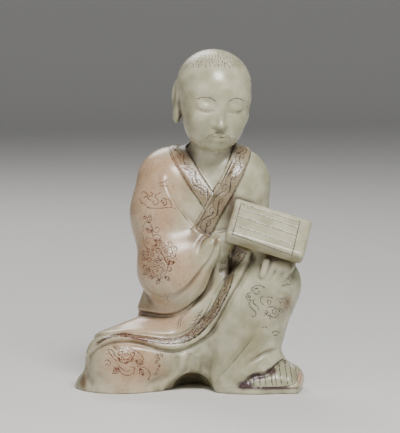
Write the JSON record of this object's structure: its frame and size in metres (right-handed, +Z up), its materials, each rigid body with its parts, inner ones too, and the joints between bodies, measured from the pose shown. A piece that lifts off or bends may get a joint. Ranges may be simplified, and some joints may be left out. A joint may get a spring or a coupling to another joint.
{
  "type": "soapstone figure",
  "caption": "Carved and polished soapstone figure of a shaven-headed monk who sits on one folded leg and rests a folded book on the raised knee; stands on its flat underside.",
  "frame": {"origin": "on the ground under the middle of the figure's box", "axes": "+Z up, -Y towards the viewer that the figure faces, +X towards the viewer's right, where the raised knee and the book are"},
  "size_m": [0.0892, 0.052, 0.1283],
  "materials": {
    "soapstone": "polished soapstone, pale grey-green to cream and flesh-orange, with engraved and red-stained lines and brown dirt in the hollows"
  },
  "bodies": {
    "root": {"figure": "soapstone"}
  },
  "joints": []
}
